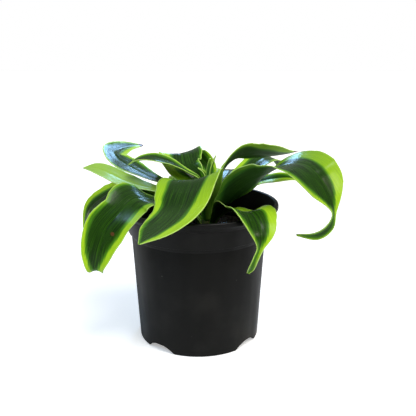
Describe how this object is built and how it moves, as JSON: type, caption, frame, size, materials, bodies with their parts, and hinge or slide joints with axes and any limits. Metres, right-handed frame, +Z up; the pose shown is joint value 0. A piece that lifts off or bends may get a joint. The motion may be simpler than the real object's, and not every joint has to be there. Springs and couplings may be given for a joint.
{
  "type": "potted dracaena",
  "caption": "Small leafy house plant with wide, waved, lime-edged strap leaves arching out of a tapered black nursery pot; stands on any level surface.",
  "frame": {"origin": "centre of the pot's foot, on the surface that it stands on", "axes": "+Z up along the pot's axis, -Y towards the viewer of the front, +X to the viewer's right, where the largest leaf arches out"},
  "size_m": [0.268, 0.2329, 0.2035],
  "materials": {
    "pot_plastic": "satin",
    "potting_soil": "matte",
    "cane": "satin",
    "leaf": "satin",
    "leaf_pale": "satin"
  },
  "bodies": {
    "root": {"pot": "pot_plastic", "soil": "potting_soil", "crown": "cane", "leaf_front": "leaf", "leaf_front_left": "leaf", "leaf_far_left_pale": "leaf_pale", "leaf_far_left_dark": "leaf", "leaf_upper_left": "leaf", "leaf_left_inner": "leaf", "leaf_back_middle": "leaf", "leaf_back_inner": "leaf", "leaf_right_top": "leaf", "leaf_right_behind": "leaf", "leaf_right_low": "leaf", "leaf_right_big": "leaf", "leaf_right_front": "leaf", "leaf_back_right": "leaf", "leaf_back_low": "leaf"}
  },
  "joints": []
}
